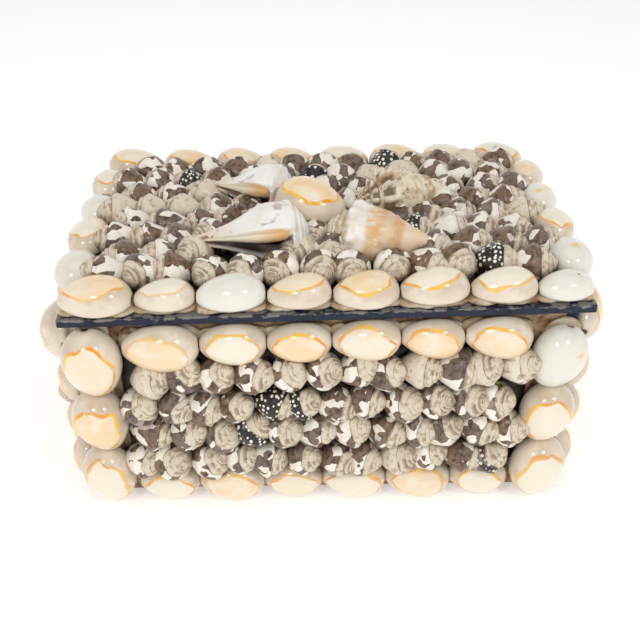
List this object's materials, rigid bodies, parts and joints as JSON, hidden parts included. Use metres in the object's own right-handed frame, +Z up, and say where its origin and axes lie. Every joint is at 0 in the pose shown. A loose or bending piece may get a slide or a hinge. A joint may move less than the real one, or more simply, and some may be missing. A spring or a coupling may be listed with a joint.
{
  "type": "shell box",
  "caption": "Keepsake box with a lift-off lid, covered all round in rows of ring cowries and fields of dove shells, with larger shells on the lid.",
  "frame": {"origin": "on the ground, under the middle of the case", "axes": "+X to the right along the front, +Y to the back, +Z up"},
  "size_m": [0.213, 0.1446, 0.1143],
  "materials": {
    "board": "dark blue painted board, smeared with dry glue",
    "cowrie": "glossy cream shell with an orange ring",
    "dove_shell": "satin cream shell with grey-brown blotches",
    "conch": "satin white shell with lilac-brown blotches",
    "spiny_shell": "rough cream and green-brown shell",
    "banded_shell": "smooth white shell with tan bands"
  },
  "bodies": {
    "root": {"case_front": "board", "case_right": "board", "case_back": "board", "case_left": "board", "case_floor": "board", "lid_board": "board", "front_top_cowries": "cowrie", "front_bottom_cowries": "cowrie", "front_left_cowries": "cowrie", "front_right_cowries": "cowrie", "front_dove_shells": "dove_shell", "right_top_cowries": "cowrie", "right_bottom_cowries": "cowrie", "right_left_cowries": "cowrie", "right_right_cowries": "cowrie", "right_dove_shells": "dove_shell", "back_top_cowries": "cowrie", "back_bottom_cowries": "cowrie", "back_left_cowries": "cowrie", "back_right_cowries": "cowrie", "back_dove_shells": "dove_shell", "left_top_cowries": "cowrie", "left_bottom_cowries": "cowrie", "left_left_cowries": "cowrie", "left_right_cowries": "cowrie", "left_dove_shells": "dove_shell", "lid_front_cowrie_1": "cowrie", "lid_front_cowrie_2": "cowrie", "lid_front_cowrie_3": "cowrie", "lid_front_cowrie_4": "cowrie", "lid_front_cowrie_5": "cowrie", "lid_front_cowrie_6": "cowrie", "lid_front_cowrie_7": "cowrie", "lid_front_cowrie_8": "cowrie", "lid_back_cowrie_1": "cowrie", "lid_back_cowrie_2": "cowrie", "lid_back_cowrie_3": "cowrie", "lid_back_cowrie_4": "cowrie", "lid_back_cowrie_5": "cowrie", "lid_back_cowrie_6": "cowrie", "lid_back_cowrie_7": "cowrie", "lid_back_cowrie_8": "cowrie", "lid_left_cowrie_1": "cowrie", "lid_left_cowrie_2": "cowrie", "lid_left_cowrie_3": "cowrie", "lid_left_cowrie_4": "cowrie", "lid_right_cowrie_1": "cowrie", "lid_right_cowrie_2": "cowrie", "lid_right_cowrie_3": "cowrie", "lid_right_cowrie_4": "cowrie", "lid_centre_cowrie": "cowrie", "lid_back_conch": "conch", "lid_front_conch": "conch", "lid_spiny_shell": "spiny_shell", "lid_banded_shell": "banded_shell", "lid_dove_shells": "dove_shell"}
  },
  "joints": []
}
